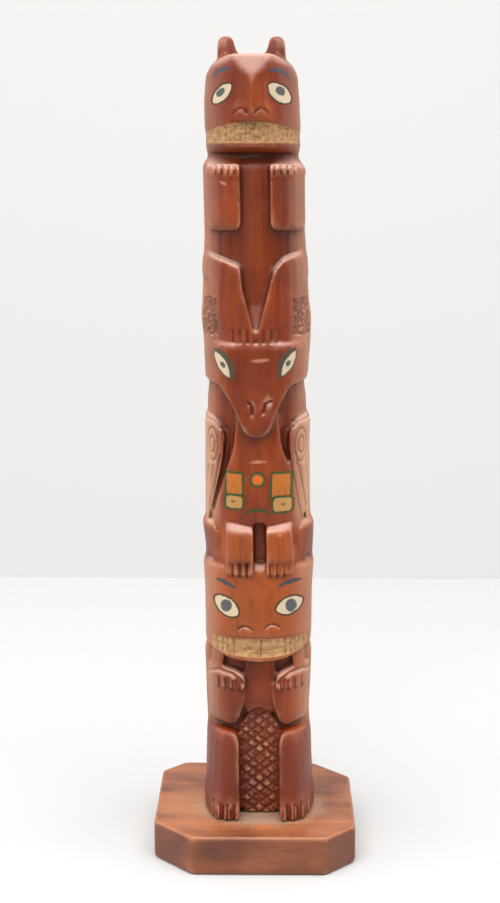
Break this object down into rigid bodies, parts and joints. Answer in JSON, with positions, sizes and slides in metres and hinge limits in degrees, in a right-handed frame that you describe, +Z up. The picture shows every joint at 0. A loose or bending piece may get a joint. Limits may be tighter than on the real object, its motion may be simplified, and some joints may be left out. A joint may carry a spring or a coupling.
{
  "type": "totem pole",
  "caption": "Carved and painted wooden totem pole: a round stick carved with a bear, a long-snouted winged creature and a beaver, standing on a flat plinth with cut corners.",
  "frame": {"origin": "middle of the plinth's underside", "axes": "+Z up the pole; the figures face -Y; +X is to the right of someone who looks at their faces"},
  "size_m": [0.0762, 0.073, 0.3038],
  "materials": {
    "carved_wood": "satin varnish over orange-brown stain, with painted eyes, brows, teeth and belly marks",
    "plinth_wood": "satin varnish, worn and paler on top"
  },
  "bodies": {
    "root": {"carved_pole": "carved_wood", "plinth": "plinth_wood"}
  },
  "joints": []
}
